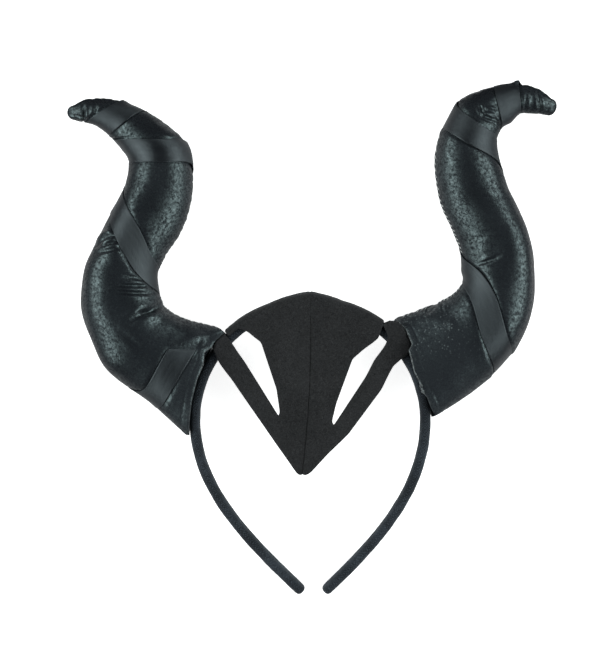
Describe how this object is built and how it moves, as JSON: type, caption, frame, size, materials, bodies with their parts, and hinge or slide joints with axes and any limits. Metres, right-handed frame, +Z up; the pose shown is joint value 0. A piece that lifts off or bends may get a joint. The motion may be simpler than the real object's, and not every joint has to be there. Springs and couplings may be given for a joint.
{
  "type": "devil horn headband",
  "caption": "Costume hair hoop with stuffed, ribbon-wound leatherette horns and a pointed, slitted felt peak over the forehead.",
  "frame": {"origin": "on the table, under the middle of the whole object's bounding box", "axes": "+Z up from the table and the way the wearer looks, +Y from the hoop's ends towards the horn tips, +X to the right as seen from the front"},
  "size_m": [0.2604, 0.2718, 0.0386],
  "materials": {
    "cloth": "matt black cloth wrap",
    "leatherette": "soft black leatherette with a satin sheen",
    "satin": "charcoal satin ribbon",
    "felt": "matt black felt"
  },
  "bodies": {
    "root": {"headband": "cloth", "horn_left": "leatherette", "horn_right": "leatherette", "ribbon_left": "satin", "ribbon_right": "satin", "peak_left": "felt", "peak_right": "felt"}
  },
  "joints": []
}
